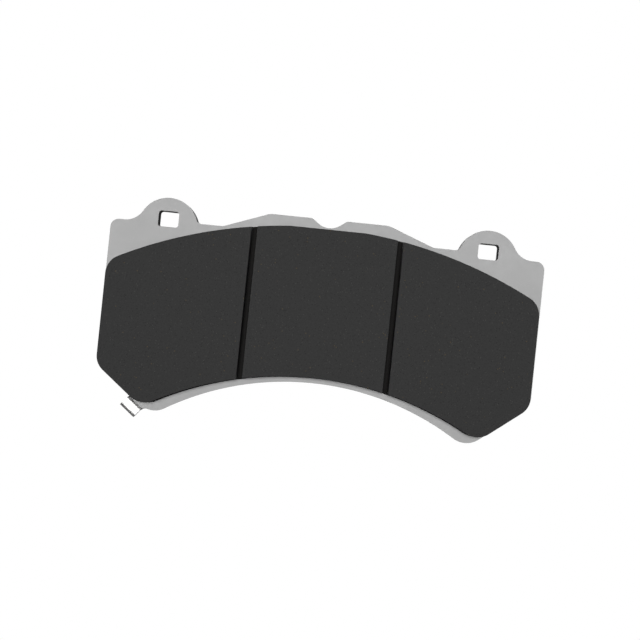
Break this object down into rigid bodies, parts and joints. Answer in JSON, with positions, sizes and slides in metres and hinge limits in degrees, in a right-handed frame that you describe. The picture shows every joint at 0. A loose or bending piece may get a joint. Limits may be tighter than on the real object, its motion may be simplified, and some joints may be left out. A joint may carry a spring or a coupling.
{
  "type": "brake pad",
  "caption": "Disc brake pad for a fixed calliper: eared steel backing plate, slotted friction material, damping shim and a bent wear indicator strip.",
  "frame": {"origin": "centre of the shim's outer face, which the calliper's pistons press on", "axes": "+X along the pad's length, +Z away from the wheel's axle towards the pin ears, +Y from the disc towards the pistons"},
  "size_m": [0.158, 0.0179, 0.0801],
  "materials": {
    "plate_steel": "satin zinc-grey coat over stamped steel",
    "bond_resin": "cured resin film",
    "underlayer": "moulded fibre compound, matte",
    "friction": "ground friction compound, matte with fine grain",
    "adhesive": "pressure-sensitive adhesive",
    "shim_rubber": "thin matte rubber coat",
    "shim_steel": "cold-rolled steel sheet",
    "spring_steel": "bright spring steel",
    "rivet_steel": "zinc-plated steel"
  },
  "bodies": {
    "root": {"backing_plate": "plate_steel", "bonding_film": "bond_resin", "underlayer": "underlayer", "friction_block_left": "friction", "friction_block_centre": "friction", "friction_block_right": "friction", "shim_adhesive": "adhesive", "shim_inner_rubber": "shim_rubber", "shim_steel_core": "shim_steel", "shim_outer_rubber": "shim_rubber", "wear_strip": "spring_steel", "wear_rivet_outer": "rivet_steel", "wear_rivet_inner": "rivet_steel"}
  },
  "joints": []
}
